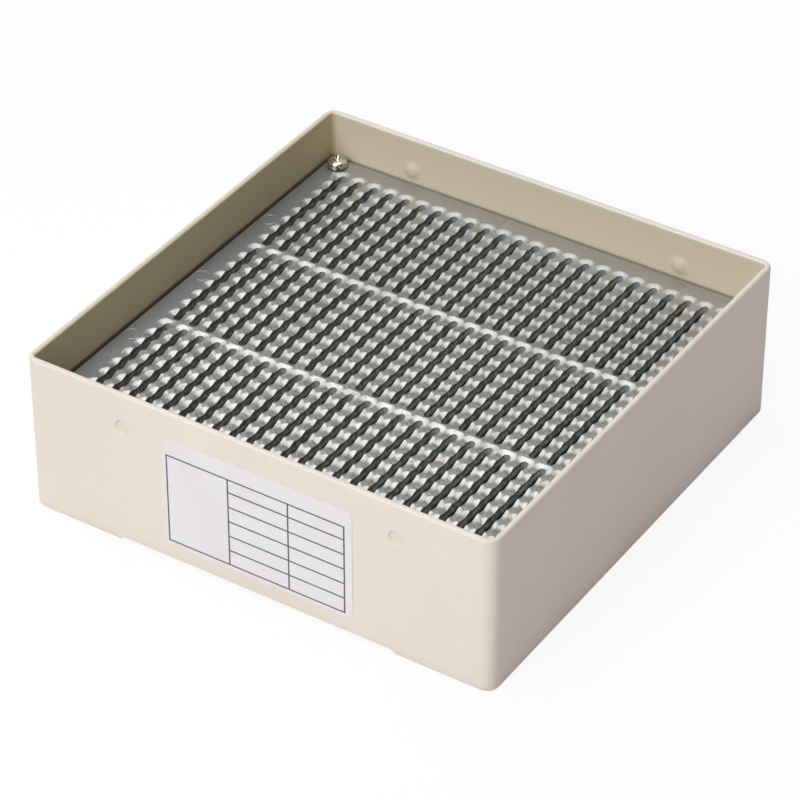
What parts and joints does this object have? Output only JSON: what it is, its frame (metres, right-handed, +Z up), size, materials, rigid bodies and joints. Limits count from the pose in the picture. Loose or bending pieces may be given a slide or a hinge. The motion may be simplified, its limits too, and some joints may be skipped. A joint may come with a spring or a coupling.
{
  "type": "screw tray",
  "caption": "Square open plastic tray with a slotted, countersunk metal plate that catches loose small screws and stands them head up for picking.",
  "frame": {"origin": "centre of the underside, on the surface that the tray stands on", "axes": "+Z up, -Y towards the labelled front wall, X along that wall with the slots running along Y"},
  "size_m": [0.125, 0.1252, 0.042],
  "materials": {
    "ivory_plastic": "ivory moulded ABS with a fine satin grain",
    "cast_zinc": "grey die-cast zinc alloy, dull and lightly scuffed",
    "nickel_plate": "bright nickel-plated steel",
    "white_paper": "white coated paper, self-adhesive"
  },
  "bodies": {
    "root": {"tray_body": "ivory_plastic", "screw_plate": "cast_zinc", "plate_screw_back_left": "nickel_plate", "plate_screw_back_right": "nickel_plate", "plate_screw_front_left": "nickel_plate", "plate_screw_front_right": "nickel_plate", "spec_label": "white_paper"}
  },
  "joints": []
}
